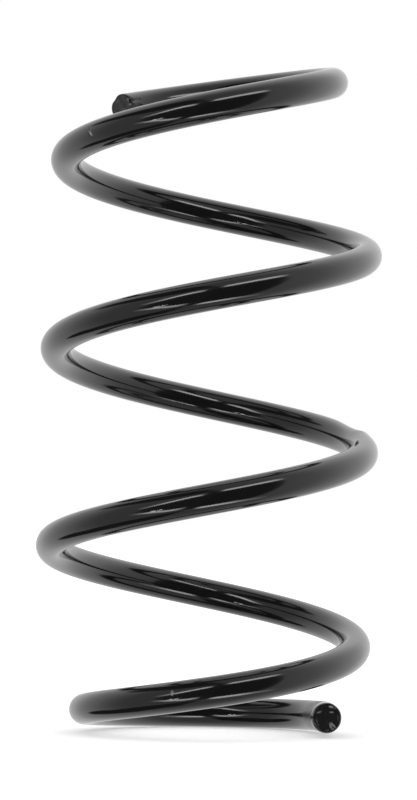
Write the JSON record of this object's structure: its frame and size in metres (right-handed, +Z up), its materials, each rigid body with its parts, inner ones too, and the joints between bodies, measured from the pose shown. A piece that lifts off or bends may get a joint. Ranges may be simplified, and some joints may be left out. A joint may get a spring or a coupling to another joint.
{
  "type": "suspension coil spring",
  "caption": "Helical compression spring for a car's suspension strut, wound from round steel bar with smaller end coils and square-cut ends, painted gloss black.",
  "frame": {"origin": "on the coil axis, at the lowest point of the bar", "axes": "Z runs up the coil axis. X points from it to where the lower coil starts, on the right in the picture. Y points away from the viewer"},
  "size_m": [0.1575, 0.1573, 0.31],
  "materials": {
    "black_paint": "gloss"
  },
  "bodies": {
    "root": {"coil_spring": "black_paint"}
  },
  "joints": []
}
